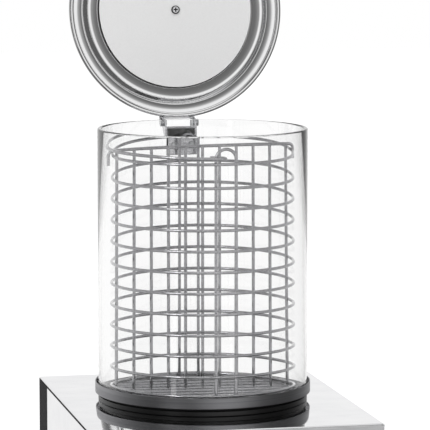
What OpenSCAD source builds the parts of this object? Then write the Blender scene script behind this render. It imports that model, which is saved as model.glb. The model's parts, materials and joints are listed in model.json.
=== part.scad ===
// Hot dog steamer: a glass cylinder on a steam boiler, with a hinged lid and a wire basket.
// The origin is on the axis of the glass, at the level that the feet stand on.
// The front is -Y, the right side is +X and up is +Z. The lid is drawn open.

/* [Housing] */
// Width of the housing
house_w = 271; // [256:1:300]
// Depth of the housing
house_d = 310; // [296:1:340]
// Height of the housing above its feet
house_h = 85; // [82:1:110]
// Thickness of the housing's sheet steel
sheet = 1.2; // [0.8:0.1:1.5]
// Distance of the glass axis behind the middle of the housing
axis_back = 7; // [0:1:12]
// Outer radius of the folds along the top edges
fold_r = 2; // [1.6:0.1:4]
// Depth of the rear panel's side returns
return_d = 50; // [40:1:60]
// Width of the laps and flanges that the screws hold
flange_w = 14; // [12:1:18]

/* [Feet and screws] */
// Height of a foot
foot_h = 10; // [8:1:16]
// Diameter of a foot
foot_d = 28; // [22:1:34]
// Distance of a foot's middle from the housing's sides
foot_inset = 30; // [24:1:40]
// Diameter of a housing screw
screw_d = 3.8; // [3:0.1:4.5]
// Diameter of a housing screw's head
screw_head_d = 7; // [6.5:0.1:9]

/* [Boiler] */
// Gap between the boiler pan's wall and the bore of the seal ring
pan_gap = 2; // [1:0.1:6]
// Depth of the boiler pan below the top plate
pan_depth = 52; // [44:1:54]
// Thickness of the boiler pan
pan_t = 1; // [0.8:0.1:1.5]
// Diameter of the heating element's ring
element_ring_d = 120; // [100:1:140]
// Diameter of the heating element's tube
element_d = 6.5; // [5:0.1:8.5]
// Height of the element's ring above the pan's floor
element_lift = 9; // [7:0.5:14]

/* [Dish and glass] */
// Height of the seal ring
seal_h = 8.5; // [7:0.5:12]
// Gap between the glass and the dish's lip
lip_gap = 1.8; // [1.2:0.1:4]
// Thickness of the dish
dish_t = 1.2; // [1:0.1:1.5]
// Height of the dish's lip above its floor
lip_h = 8.1; // [6:0.1:12]
// Width of the dish's floor from its middle opening to the inside of the glass
dish_floor_w = 18; // [16:0.5:21]
// Thickness of the perforated steam plate
plate_t = 1; // [0.8:0.1:1.5]
// Diameter of a hole in the steam plate
steam_hole_d = 3.4; // [2.5:0.1:4]
// Outer diameter of the glass
glass_d = 200; // [190:1:210]
// Wall of the glass
glass_wall = 4; // [3:0.1:4.4]
// Height of the glass
glass_h = 250; // [245:1:290]

/* [Hinge] */
// Width of the hinge bracket
bracket_w = 32; // [28:1:40]
// Height of the hinge bracket's web
bracket_h = 39; // [36:1:50]
// Thickness of the bracket steel
bracket_t = 1.5; // [1.2:0.1:2]
// Distance of the hinge axis from the outside of the glass
pivot_gap = 12; // [11:0.5:16]
// Depth of the hinge axis below the rim of the glass
pivot_drop = 5; // [4:0.5:7]
// Diameter of a hinge pivot
pivot_d = 5; // [4:0.1:6]
// Opening angle of the lid, in degrees
lid_open = 96; // [92:1:110]
// Diameter of a clamp bolt
bolt_d = 4; // [3:0.1:5]
// Distance between the two clamp bolts
bolt_pitch = 18; // [16:1:19]

/* [Lid] */
// Overhang of the lid beyond the glass
lid_overhang = 6.8; // [6.5:0.1:8]
// Thickness of the lid's sheet
lid_t = 1; // [0.8:0.1:1.2]
// Height of the lid's dome above the rim of the glass
dome_h = 14; // [12:0.5:18]
// Width of the lid's rim around the flat disc
lid_rim_w = 30.5; // [30.3:0.1:33]
// Diameter of the lid's knob
lid_knob_d = 38; // [32:1:44]
// Height of the lid's knob
lid_knob_h = 26; // [22:1:30]
// Height of the spacer under the lid's knob
spacer_h = 5; // [3:0.5:8]

/* [Basket] */
// Gap between the basket's rings and the glass
basket_gap = 7.8; // [7.6:0.1:9]
// Wire of the rings
ring_wire = 2.8; // [2.4:0.1:3]
// Wire of the uprights, the floor and the handle
rod_wire = 3; // [2.6:0.1:3.1]
// Number of rings between the lowest two and the top one
ring_count = 9; // [6:1:10]
// Distance between two rings
ring_pitch = 19.5; // [18:0.1:20]
// Distance between the lowest two rings
low_gap = 17.8; // [15:0.1:19.5]
// Distance between the top two rings
top_gap = 22; // [20:0.1:24]
// Number of uprights in the divider
divider_rods = 11; // [7:2:13]
// Distance from the divider's end uprights to the middle of a ring's wire
divider_inset = 3.8; // [3.7:0.1:20]
// Distance between the two legs of a hairpin
hairpin_w = 19; // [17:0.5:22]
// Sideways shift of the hairpins from the middle of the basket
hairpin_shift = 4; // [2:0.1:4.5]
// Height of a hairpin's loop above the top ring
hairpin_rise = 13.5; // [12:0.5:18]
// Gap between the bail handle and the glass
bail_gap = 2.7; // [2.5:0.1:4.5]
// Tilt of the bail handle as it lies on the basket, in degrees
bail_tilt = 2; // [1.5:0.1:3]

/* [Controls] */
// Diameter of the thermostat knob
knob_d = 44; // [36:1:50]
// Height of the thermostat knob
knob_h = 15; // [13:1:20]
// Distance of the thermostat knob from the middle of the front
knob_x = 62; // [50:1:75]
// Width of the rocker switch
switch_w = 30; // [26:1:34]
// Height of the rocker switch
switch_h = 22; // [20:1:26]
// Distance of the rocker switch from the middle of the front
switch_x = -72; // [-80:1:-60]
// Tilt of the rocker when it is off, in degrees
rocker_tilt = 8; // [5:1:10]
// Diameter of the indicator lamp's lens
lamp_d = 10; // [8:1:12]
// Distance of the lamp from the middle of the front
lamp_x = -30; // [-45:1:-20]

/* [Drain and mains inlet] */
// Distance of the drain from the middle of the back
drain_x = 55; // [45:1:60]
// Outer diameter of the drain's hose spigot
spigot_d = 12; // [10:0.5:14]
// Length of the drain's hose spigot
spigot_l = 14; // [10:1:18]
// Length of the drain's lever
lever_l = 34; // [26:1:40]
// Distance of the cable gland from the left side
gland_inset = 50.5; // [40:0.5:65]
// Bore of the cable gland
gland_bore = 8; // [6:0.5:9]
// Length of the gland's outer part
gland_l = 14; // [12:1:20]

/* [Hidden] */
$fn = 96;

// Clearances
gap = 0.3;       // between pieces that move past each other
seat = 0.1;      // between pieces that are screwed or pressed together
running = 0.05;  // around a turning pin, on the radius
weld = 0.3;      // depth to which crossing wires are welded
through = 1;     // how far a cutting shape stands out of what it cuts

// Housing
front = -house_d / 2 - axis_back;
back = house_d / 2 - axis_back;
half_w = house_w / 2;
top = foot_h + house_h;
inner_w = half_w - sheet - seat;         // face against the inside of a side wall
floor_top = foot_h + sheet;
under_top = top - sheet - seat;          // face against the underside of the top
split = back - return_d;                 // where the cover's side meets the return
under_fold = top - fold_r - gap;         // top edge of the rear panel's returns
screw_z = foot_h + flange_w / 2 + sheet;
flange_in = flange_w / 2;
side_screws = [front + sheet + flange_in, -60, 40, split - flange_in];
rear_screws = [-100, -30, 20, 100];
screw_head_h = 2;
screw_l = 6;
foot_y = [front + foot_inset, back - foot_inset];
gland_x = gland_inset - half_w;

// Boiler
pan_floor = top - pan_depth;             // underside of the pan
pan_in = pan_floor + pan_t;              // top of the pan's floor
element_r = element_ring_d / 2;
element_leg = 22;                        // length of the element's legs below the pan
element_bend = 8;
element_gap_a = 14;                      // half of the ring's opening, in degrees
element_z = pan_in + element_lift;
nut_h = 5;

// Dish and glass
glass_r = glass_d / 2;
glass_in_r = glass_r - glass_wall;
dish_r = glass_r + lip_gap + dish_t;
dish_floor = top + seal_h + dish_t;      // top of the dish's floor
lip_top = dish_floor + lip_h;
seal_r = dish_r - 3;                     // lower step of the seal
seal_step = 1.5;
seal_in_r = seal_r - 10;
pan_r = seal_in_r - pan_gap;
pan_flange_r = seal_r - 4;
dish_hole_r = glass_in_r - dish_floor_w;
ridge_r = 2.4;                           // ridge that centres the glass in the dish
ridge_ring_r = glass_in_r - ridge_r - 3.1;
skirt = 1;                               // depth of the dish's edge below its floor
collar_h = 2.3;                          // upturned edge of the dish's opening
collar_top = dish_floor + collar_h;
steam_r = dish_hole_r + 6;
plate_top = collar_top + plate_t;
steam_pitch = 9;                         // between the circles of holes
steam_circles = 7;
glass_z = dish_floor + gap;
rim = glass_z + glass_h;

// Hinge
pivot_out = glass_r + pivot_gap;         // hinge axis, from the axis of the glass
pivot_z = rim - pivot_drop;
pad_t = 1.7;                             // least thickness of a rubber pad
web_y = glass_r + pad_t;                 // front face of the bracket's web
web_top = rim - 7.5;
web_back = web_y + bracket_t;
bracket_x = bracket_w / 2;
lobe_r = 4;                              // round ends around the pivot
lug_x = bracket_x + gap;                 // inner face of the lid bracket's lugs
bolt_z = web_top - bracket_h + 10;
clamp_w = 30;
clamp_h = 16;
clamp_y = glass_in_r - pad_t;            // outer face of the clamp plate
clamp_nut_h = 2.5;
clamp_nut_d = 7;
glass_hole_d = bolt_d + 2;

// Lid, in heights above the rim of the glass
lid_r = glass_r + lid_overhang;
bead_r = 2.6;                            // rolled edge, turned down
bead_z = -1.2;
crest = 2.5;                             // top of the channel, middle of the sheet
disc_r = lid_r - lid_rim_w;
disc_t = 1;
disc_z = -1.3;                           // underside of the disc
lid_plate_z = crest + lid_t / 2 + seat;  // underside of the lid bracket
lid_screw_d = 4;
lid_screw_head_d = 8.2;
lid_screw_head_h = 2;
knob_z = dome_h + lid_t / 2 + spacer_h;  // underside of the knob
lid_plate_reach = pivot_drop + lid_plate_z;  // hinge axis to the lid bracket's plate
stop_r = lid_plate_reach + 0.4;          // hinge axis to the heel that stops the lid
stop_a = acos((lid_plate_reach - seat) / stop_r) + lid_open - 90;

// Basket
ring_r = glass_in_r - basket_gap - ring_wire / 2;
divider_end = ring_r - divider_inset;
floor_rod_z = plate_top + gap + rod_wire / 2;
low_ring_z = floor_rod_z + rod_wire / 2 + ring_wire / 2 - weld;
second_ring_z = low_ring_z + low_gap;
top_ring_z = second_ring_z + ring_count * ring_pitch + top_gap;
ring_zs = concat([low_ring_z], [for (i = [0:ring_count]) second_ring_z + i * ring_pitch],
    [top_ring_z]);
leg_r = ring_r - ring_wire / 2 - rod_wire / 2 + weld;  // hairpin legs, from the axis
hairpin_y = sqrt(leg_r * leg_r - hairpin_w * hairpin_w / 4);
hairpin_turn = asin(hairpin_shift / leg_r);
hairpin_top = top_ring_z + hairpin_rise;
floor_rod_ys = [-60, -40, -20, 20, 40, 60];
bar_z = top_ring_z + 4;                  // divider's top bar
hook_x = ring_r + ring_wire / 2 + rod_wire / 2 + 1.2;
hook_l = 13;
hook_bend = 4;
bail_x = 1.1;                            // the bail's swing axis
bail_z = top_ring_z + 5;
bail_r = glass_in_r - bail_gap - rod_wire / 2;
bail_bend = rod_wire + 0.9;              // radius of the bail's end hooks
bail_hook_x = bail_x - 1.6;              // middle of the bail's end hooks
bail_hook_y = leg_r - 0.5;
bail_hook_l = 10;
bail_side = bail_hook_y + bail_bend;           // outer limb of the bail's end hooks

// Controls
control_z = foot_h + house_h * 0.48;
spindle_d = 6;
neck_d = 10;
dial_d = knob_d + 8;
dial_t = 1;
box_w = 34;
box_h = 30;
box_d = 26;
pocket_w = switch_w / 2 - 3.5;
pocket_r = switch_h / 2 - 3.2;
bezel_t = 2;
switch_d = 20;
rocker_y = front + 2;
lamp_ring_d = lamp_d + 4;

// Drain
elbow = 16;
drain_y = 45;
drain_z = pan_floor - elbow / 2 - 3;
drain_bore = 7;
drain_pipe_d = 11;
valve_l = 18;
lever_z = drain_z + elbow / 2 + 3;

steel = [0.78, 0.78, 0.78];
bright = [0.88, 0.88, 0.89];
brushed = [0.45, 0.45, 0.45];
black = [0.09, 0.09, 0.09];
clear = [0.85, 0.92, 0.95, 0.3];

function unit(v) = v / norm(v);
function arc(c, r, a0, a1, n) =
    [for (i = [0:n]) let (a = a0 + (a1 - a0) * i / n) c + r * [cos(a), sin(a)]];
function reversed(p) = [for (i = [len(p) - 1:-1:0]) p[i]];
// A polyline moved to its left by d, with mitred corners
function beside(p, d) =
    let (n = [for (i = [0:len(p) - 2]) let (h = unit(p[i + 1] - p[i])) [-h[1], h[0]]])
    [for (i = [0:len(p) - 1]) p[i] + d * (i == 0 ? n[0] : i == len(p) - 1 ? n[i - 1]
        : (n[i - 1] + n[i]) / (1 + n[i - 1] * n[i]))];
// A polyline thickened to a strip of thickness t, with its far end closed by more points
function strip(p, t, far = []) = concat(beside(p, t / 2), far, reversed(beside(p, -t / 2)));
// Points of a curve that leaves a towards b and arrives at c from b
function curve(a, b, c, n) = [for (i = [0:n]) let (u = i / n)
    (1 - u) * (1 - u) * a + 2 * u * (1 - u) * b + u * u * c];
function deep(p, z) = [for (q = p) [q[0], q[1], z]];
// Directions along a path, averaged at its inner points
function headings(p) = [for (i = [0:len(p) - 1])
    unit((i < len(p) - 1 ? unit(p[i + 1] - p[i]) : [0, 0, 0])
        + (i > 0 ? unit(p[i] - p[i - 1]) : [0, 0, 0]))];
// One sideways vector for each direction, carried along without twist
function sideways(d, s0) = [for (i = 0, s = unit(s0 - (s0 * d[0]) * d[0]); i < len(d);
    i = i + 1, s = i < len(d) ? unit(s - (s * d[i]) * d[i]) : s) s];

// A round wire or tube along a path
module tube(path, r, sides = 10, s0 = [0.31, 0.52, 0.79]) {
    d = headings(path);
    s = sideways(d, s0);
    n = len(path);
    points = [for (i = [0:n - 1], j = [0:sides - 1]) let (a = 360 * j / sides)
        path[i] + r * (cos(a) * s[i] + sin(a) * cross(d[i], s[i]))];
    walls = [for (i = [0:n - 2], j = [0:sides - 1]) let (k = (j + 1) % sides)
        [i * sides + j, (i + 1) * sides + j, (i + 1) * sides + k, i * sides + k]];
    ends = [[for (j = [0:sides - 1]) j],
        [for (j = [sides - 1:-1:0]) (n - 1) * sides + j]];
    polyhedron(points, concat(walls, ends));
}

// A pressed sheet turned about the axis
module spun(p, t) rotate_extrude() polygon(strip(p, t));
module along_y(y, l) translate([0, y + l, 0]) rotate([90, 0, 0]) linear_extrude(l) children();
module ring(r, h, hole) difference() {
    cylinder(r = r, h = h);
    translate([0, 0, -through]) cylinder(r = hole, h = h + 2 * through);
}
module rod(d, l, hole = 0) difference() {
    cylinder(d = d, h = l);
    if (hole > 0) translate([0, 0, -through]) cylinder(d = hole, h = l + 2 * through);
}

// A cross-head screw whose head's underside is at the origin and whose shank points to -Z
module screw(d, l, head_d, head_h) {
    slot = head_d / 8;
    difference() {
        union() {
            cylinder(d = head_d, h = head_h * 0.6);
            translate([0, 0, head_h * 0.6])
                cylinder(d1 = head_d, d2 = head_d * 0.7, h = head_h * 0.4, $fn = 48);
        }
        for (a = [0, 90]) rotate(a)
            translate([-head_d / 4, -slot / 2, head_h / 2]) cube([head_d / 2, slot, head_h]);
    }
    translate([0, 0, -l]) cylinder(d = d, h = l);
}

// Places of the housing's screws, each turned so that +Z points out of the wall
module at_side_screws() for (s = [-1, 1], y = side_screws)
    translate([s * half_w, y, screw_z]) rotate([0, s * 90, 0]) children();
module at_rear_screws() for (x = rear_screws)
    translate([x, back, screw_z]) rotate([-90, 0, 0]) children();
module at_feet() for (s = [-1, 1], y = foot_y) translate([s * (half_w - foot_inset), y, 0])
    children();
module screw_hole() translate([0, 0, -screw_l]) cylinder(d = screw_d + 2 * seat,
    h = screw_l + through);

module cover() {
    function fold(w, h, r) = concat([[-w, 0]], arc([r - w, h - r], r, 180, 90, 5),
        arc([w - r, h - r], r, 90, 0, 5), [[w, 0]]);
    color(bright) difference() {
        translate([0, back, foot_h]) rotate([90, 0, 0]) linear_extrude(house_d)
            polygon(concat(fold(half_w, house_h, fold_r),
                reversed(fold(half_w - sheet, house_h - sheet, fold_r - sheet))));
        translate([-half_w - through, split - gap, foot_h - through])
            cube([house_w + 2 * through, return_d + 2, under_fold + gap - foot_h + through]);
        translate([0, 0, top - 2 * sheet]) cylinder(r = pan_r + gap, h = 4 * sheet);
        at_side_screws() screw_hole();
    }
}

module front_panel() color(steel) difference() {
    union() {
        along_y(front, sheet) polygon([[-inner_w, foot_h], [inner_w, foot_h],
            [inner_w, top - fold_r - seat], [inner_w - fold_r, under_top],
            [fold_r - inner_w, under_top], [-inner_w, top - fold_r - seat]]);
        for (s = [-1, 1]) translate([s * (inner_w - sheet / 2) - sheet / 2, front, floor_top + seat])
            cube([sheet, flange_w + sheet, house_h - 3 * sheet - fold_r]);
    }
    at_side_screws() screw_hole();
    along_y(front - through, sheet + 2 * through) {
        translate([knob_x, control_z]) circle(d = neck_d + 2 * seat);
        translate([switch_x, control_z])
            square([switch_w - 2.6, switch_h - 2.6], center = true);
        translate([lamp_x, control_z]) circle(d = lamp_d + 2 * seat);
    }
}

module rear_panel() {
    lap_h = under_fold - floor_top - seat;
    slots = 6;
    slot_pitch = 7;
    color(brushed) difference() {
        union() {
            along_y(back - sheet, sheet) polygon([[-half_w, foot_h], [half_w, foot_h],
                [half_w, under_fold], [half_w - fold_r - gap, under_fold],
                [half_w - fold_r - gap, under_top], [fold_r + gap - half_w, under_top],
                [fold_r + gap - half_w, under_fold], [-half_w, under_fold]]);
            for (s = [-1, 1]) {
                translate([s * (half_w - sheet / 2) - sheet / 2, split, foot_h])
                    cube([sheet, return_d, under_fold - foot_h]);
                translate([s * (inner_w - sheet / 2) - sheet / 2, split - flange_w,
                    floor_top + seat]) cube([sheet, flange_w + 3, lap_h]);
                translate([s * (half_w - sheet) - sheet / 2, split, floor_top + seat])
                    cube([sheet, 3, lap_h]);
            }
        }
        at_side_screws() screw_hole();
        at_rear_screws() screw_hole();
        along_y(back - 2 * sheet, 4 * sheet) {
            translate([gland_x, control_z]) circle(d = gland_bore + 8 + 2 * seat);
            translate([drain_x, drain_z]) circle(d = drain_pipe_d + 1);
            for (i = [0:slots - 1]) translate([-40 + i * slot_pitch, control_z])
                square([3, 30], center = true);
        }
    }
}

module base_plate() {
    side_y = side_screws[1] - flange_w;
    side_l = side_screws[2] + flange_w - side_y;
    rear_y = back - 2 * sheet - seat;
    color(steel) difference() {
        union() {
            translate([-inner_w, front + sheet + seat, foot_h])
                cube([2 * inner_w, house_d - 2 * sheet - 2 * seat, sheet]);
            for (s = [-1, 1]) translate([s * (inner_w - sheet / 2) - sheet / 2, side_y, foot_h])
                cube([sheet, side_l, flange_w + sheet]);
            translate([rear_screws[0] - flange_w, rear_y, foot_h])
                cube([rear_screws[3] - rear_screws[0] + 2 * flange_w, sheet, flange_w + sheet]);
        }
        at_side_screws() screw_hole();
        at_rear_screws() screw_hole();
        at_feet() translate([0, 0, foot_h - through]) cylinder(d = screw_d + 2 * seat,
            h = sheet + 2 * through);
        for (x = [-50:20:50]) translate([x - 2, front + 60, foot_h - through])
            cube([4, 50, sheet + 2 * through]);
    }
}

module feet() color(black) at_feet() difference() {
    cylinder(d1 = foot_d - 4, d2 = foot_d, h = foot_h);
    translate([0, 0, -through]) cylinder(d = screw_head_d + 2, h = through + foot_h / 2);
    cylinder(d = screw_d + 2 * seat, h = foot_h + through);
}

module foot_screws() color(steel) at_feet() translate([0, 0, foot_h / 2])
    rotate([180, 0, 0]) screw(screw_d, foot_h / 2 + sheet + 3, screw_head_d, screw_head_h);

module cover_screws() color(steel) {
    at_side_screws() screw(screw_d, screw_l, screw_head_d, screw_head_h);
    at_rear_screws() screw(screw_d, screw_l, screw_head_d, screw_head_h);
}

module boiler_pan() color(steel) difference() {
    spun([[pan_flange_r, top + pan_t / 2], [pan_r - pan_t / 2, top + pan_t / 2],
        [pan_r - pan_t / 2, pan_floor + 4], [pan_r - 4, pan_floor + pan_t / 2],
        [0, pan_floor + pan_t / 2]], pan_t);
    at_element_legs() translate([0, 0, pan_floor - through])
        cylinder(d = element_d + 2 * seat, h = pan_t + 2 * through);
    translate([drain_x, drain_y, pan_floor - through])
        cylinder(d = drain_pipe_d + 2 * seat, h = pan_t + 2 * through);
}

module at_element_legs() for (s = [-1, 1]) rotate(s * element_gap_a)
    translate([0, -element_r, 0]) children();

module heating_element() {
    a0 = element_gap_a + 8;
    foot_pt = [for (s = [-1, 1]) element_r * [s * sin(element_gap_a), -cos(element_gap_a)]];
    join = [for (s = [-1, 1]) element_r * [s * sin(a0), -cos(a0)]];
    function leg(i) = [for (z = [pan_floor - element_leg, element_z - element_bend])
        [foot_pt[i][0], foot_pt[i][1], z]];
    function knee(i) = let (a = [foot_pt[i][0], foot_pt[i][1], element_z - element_bend],
        b = [foot_pt[i][0], foot_pt[i][1], element_z], c = [join[i][0], join[i][1], element_z])
        [for (k = [1:5]) curve(a, b, c, 6)[k]];
    path = concat(leg(1), knee(1), deep(arc([0, 0], element_r, a0 - 90, 270 - a0, 36), element_z),
        reversed(knee(0)), reversed(leg(0)));
    color(brushed) tube(path, element_d / 2, 10);
}

module element_nuts() color([0.72, 0.6, 0.3]) at_element_legs()
    translate([0, 0, pan_floor - nut_h]) difference() {
        cylinder(d = element_d * 2, h = nut_h, $fn = 6);
        translate([0, 0, -through]) cylinder(d = element_d + 2 * seat, h = nut_h + 2 * through);
    }

module safety_cutout() color(black) translate([-25, 20, pan_floor]) {
    translate([0, 0, -9]) cylinder(d = 17, h = 9);
    translate([0, 0, -11]) cylinder(d = 11, h = 2);
    for (s = [-1, 1]) translate([s * 4 - 0.4, -3, -17]) cube([0.8, 6, 6]);
}

module thermostat_body() color(steel) difference() {
    union() {
        translate([knob_x - box_w / 2, front + sheet + 2, control_z - box_h / 2])
            cube([box_w, box_d, box_h]);
        along_y(front - 4, sheet + 7) translate([knob_x, control_z]) circle(d = neck_d);
    }
    along_y(front - 5, 20) translate([knob_x, control_z]) circle(d = spindle_d + 2 * running);
}

module thermostat_bulb() {
    bulb_r = 3;
    bulb_l = 70;
    bulb_y = front + 100;                // near end of the bulb
    bulb_z = pan_floor - bulb_r - seat;
    bulb_shift = 22;                     // bulb to the spindle, sideways
    swing = 12;                          // how far the capillary comes in from the side
    drop_y = front + 58;                 // where the capillary is down at the pan
    lead = 5;                            // straight end of the capillary
    start = [knob_x, front + sheet + 2 + box_d, control_z];
    steps = 3;
    color([0.72, 0.45, 0.3]) {
        tube(concat([start, start + [0, lead, 0], start + [0, 2.2 * lead, -0.6 * lead],
            start + [-0.8 * lead, 3.4 * lead, -1.6 * lead]],
            [for (i = [0:steps]) let (f = i / steps) [
                knob_x - bulb_shift + swing * pow(1 - f, 1.7),
                drop_y + (bulb_y - drop_y) * f, bulb_z + (i == 0 ? lead / 5 : 0)]]), 0.9, 8);
        translate([knob_x - bulb_shift, bulb_y, bulb_z]) rotate([-90, 0, 0])
            cylinder(r = bulb_r, h = bulb_l);
    }
}

module terminal_block() color([0.9, 0.88, 0.82]) difference() {
    translate([gland_x - 8, back - 62, floor_top]) cube([46, 18, 15]);
    for (i = [0:3]) translate([gland_x - 1 + i * 10.5, back - 53, floor_top + 5])
        cylinder(d = 5, h = 15);
}

module wiring() {
    block_front = back - 62;
    element_foot = pan_floor - element_leg;
    color([0.55, 0.35, 0.2]) {
        tube([[gland_x, block_front, floor_top + 8], [gland_x, block_front - 6, floor_top + 8],
            [gland_x - 8, 40, floor_top + 4], [gland_x - 10, -40, floor_top + 3],
            [gland_x - 6, front + 70, floor_top + 5], [switch_x - 3, front + 40, control_z - 8],
            [switch_x - 3, front + 28, control_z - 2],
            [switch_x - 3, front + sheet + switch_d, control_z]], 1.3, 8);
        tube([[gland_x + 12, block_front, floor_top + 8],
            [gland_x + 12, block_front - 8, floor_top + 7], [-50, 20, floor_top + 3],
            [-20, -60, floor_top + 3], [20, front + 75, floor_top + 4],
            [knob_x - 10, front + 56, control_z - 14], [knob_x - 10, front + 42, control_z - 9],
            [knob_x - 10, front + sheet + 2 + box_d, control_z - 9]], 1.3, 8);
        tube([[gland_x + 24, block_front, floor_top + 8],
            [gland_x + 24, block_front - 8, floor_top + 8], [-40, 30, floor_top + 8],
            [-element_r * sin(element_gap_a), -30, element_foot - 6],
            [-element_r * sin(element_gap_a), -element_r * cos(element_gap_a) + 6,
                element_foot - 7],
            [-element_r * sin(element_gap_a), -element_r * cos(element_gap_a),
                element_foot - 4],
            [-element_r * sin(element_gap_a), -element_r * cos(element_gap_a),
                element_foot]], 1.3, 8);
    }
}

module cable_gland() color(black) translate([gland_x, back, control_z])
    rotate([-90, 0, 0]) difference() {
        union() {
            cylinder(d = gland_bore + 14, h = 5, $fn = 6);
            translate([0, 0, 5]) cylinder(d1 = gland_bore + 11, d2 = gland_bore + 6,
                h = gland_l - 5);
            translate([0, 0, -sheet - 9]) cylinder(d = gland_bore + 8, h = sheet + 9 + 1);
        }
        translate([0, 0, -sheet - 9 - through]) cylinder(d = gland_bore,
            h = gland_l + sheet + 9 + 2 * through);
    }

module gland_nut() color(black) translate([gland_x, back - sheet - 5, control_z])
    rotate([-90, 0, 0]) difference() {
        cylinder(d = gland_bore + 14, h = 5, $fn = 6);
        translate([0, 0, -through]) cylinder(d = gland_bore + 8 + 2 * running, h = 5 + 2 * through);
    }

module switch_body() color(black) difference() {
    translate([switch_x, 0, control_z]) union() {
        translate([-switch_w / 2, front - bezel_t, -switch_h / 2])
            cube([switch_w, bezel_t, switch_h]);
        translate([-switch_w / 2 + 1.5, front - bezel_t, -switch_h / 2 + 1.5])
            cube([switch_w - 3, bezel_t + sheet + switch_d, switch_h - 3]);
    }
    translate([switch_x - pocket_w - gap, front - bezel_t - through, control_z - pocket_r - gap])
        cube([2 * (pocket_w + gap), rocker_y - front + bezel_t + pocket_r + 1 + through,
            2 * (pocket_r + gap)]);
    translate([switch_x, rocker_y, control_z]) rotate([0, 90, 0])
        cylinder(d = 2 + 2 * running, h = 2 * pocket_w + 2.5, center = true);
}

// The rocker's face is two flats that meet in a shallow V
module power_rocker() color([0.75, 0.1, 0.08])
    translate([switch_x, rocker_y, control_z]) rotate([rocker_tilt, 0, 0]) {
        face = rocker_y - front + bezel_t + 2.4;
        h = pocket_r - 0.6;
        pivoted(-pocket_w, 2 * pocket_w) polygon([[4, -h + 1.5], [-4, -h], [-face - 1, -h],
            [-face + 1, 0], [-face - 1, h], [-4, h], [4, h - 1.5]]);
        rotate([0, 90, 0]) cylinder(d = 2, h = 2 * pocket_w + 2, center = true);
    }

module lamp_holder() color(black) translate([lamp_x, front, control_z]) rotate([90, 0, 0])
    ring(lamp_ring_d / 2, 2, lamp_d / 2 + seat);

module indicator_lamp() color([0.95, 0.55, 0.1]) translate([lamp_x, front, control_z])
    rotate([90, 0, 0]) {
        translate([0, 0, -18]) cylinder(d = lamp_d, h = 20.5);
        translate([0, 0, 2.5]) cylinder(d1 = lamp_d, d2 = lamp_d * 0.7, h = 1.5);
    }

module dial_ring() color(bright) translate([knob_x, front, control_z]) rotate([90, 0, 0])
    ring(dial_d / 2, dial_t, neck_d / 2 + seat);

module thermostat_spindle() color(brushed) along_y(front - knob_h + 3, knob_h + 10)
    translate([knob_x, control_z]) circle(d = spindle_d);

module thermostat_knob() {
    knob_foot = front - dial_t - gap;
    neck_end = front - 4 - gap;
    flutes = 24;
    color(black) difference() {
        union() {
            translate([knob_x, knob_foot, control_z]) rotate([90, 0, 0]) rotate_extrude()
                polygon([[0, 0], [knob_d / 2, 0], [knob_d / 2, 3], [knob_d / 2 - 3, 5],
                    [knob_d / 2 - 5, knob_h - 1.5], [knob_d / 2 - 6.5, knob_h - dial_t],
                    [0, knob_h - dial_t]]);
            translate([knob_x - 2, knob_foot - knob_h + dial_t, control_z])
                cube([4, knob_h - dial_t, knob_d / 2 - 2]);
        }
        along_y(neck_end, knob_foot - neck_end + through) translate([knob_x, control_z])
            circle(d = neck_d + 2 * gap);
        along_y(front - knob_h + 3, knob_h) translate([knob_x, control_z])
            circle(d = spindle_d);
        for (i = [0:flutes - 1]) translate([knob_x, knob_foot - 6, control_z])
            rotate([90, 0, 0]) rotate((i + 0.5) * 360 / flutes)
                translate([knob_d / 2 - 4, 0, 0]) cylinder(d = 2.4, h = knob_h);
    }
}

module drain_elbow() color([0.72, 0.6, 0.3]) translate([drain_x, drain_y, drain_z]) difference() {
    union() {
        translate([-elbow / 2, -elbow / 2, -elbow / 2]) cube(elbow);
        cylinder(d = drain_pipe_d, h = pan_in + 2 - drain_z);
        translate([0, 0, elbow / 2]) cylinder(d = drain_pipe_d + 5, h = pan_floor - drain_z
            - elbow / 2);
    }
    cylinder(d = drain_bore, h = elbow * 3);
    translate([0, 0, 0]) rotate([-90, 0, 0]) cylinder(d = drain_bore - 1, h = elbow);
}

module drain_pipe() color(steel) translate([drain_x, drain_y + elbow / 2, drain_z])
    rotate([-90, 0, 0]) rod(drain_pipe_d - 1, back - drain_y - elbow / 2, drain_bore - 1);

module drain_valve() color([0.72, 0.6, 0.3]) translate([drain_x, back, drain_z]) difference() {
    union() {
        translate([-elbow / 2, 0, -elbow / 2]) cube([elbow, valve_l - 4, elbow]);
        rotate([-90, 0, 0]) translate([0, 0, valve_l - 4]) cylinder(d = spigot_d, h = spigot_l);
        translate([0, valve_l / 2 - 2, elbow / 2]) cylinder(d = 8, h = 3 - gap);
    }
    rotate([-90, 0, 0]) translate([0, 0, -through]) cylinder(d = drain_bore,
        h = valve_l + spigot_l + through);
    translate([0, valve_l / 2 - 2, elbow / 2 - 2]) cylinder(d = 5 + 2 * running, h = 10);
}

module drain_lever() color([0.75, 0.1, 0.08])
    translate([drain_x, back + valve_l / 2 - 2, 0]) {
        translate([0, 0, lever_z]) {
            cylinder(d = 12, h = 3);
            translate([0, -4, 0]) cube([lever_l, 8, 3]);
            translate([lever_l, 0, 0]) cylinder(d = 10, h = 3);
        }
        translate([0, 0, drain_z + elbow / 2 - 1]) cylinder(d = 5, h = 5);
    }

module seal_ring() color(black) rotate_extrude() polygon([
    [seal_in_r, top + pan_t], [pan_flange_r + gap, top + pan_t], [pan_flange_r + gap, top],
    [seal_r, top], [seal_r, top + seal_h / 2 - 0.6], [seal_r - 0.6, top + seal_h / 2],
    [seal_r - seal_step, top + seal_h / 2], [seal_r - seal_step, top + seal_h],
    [seal_in_r, top + seal_h]]);

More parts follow.
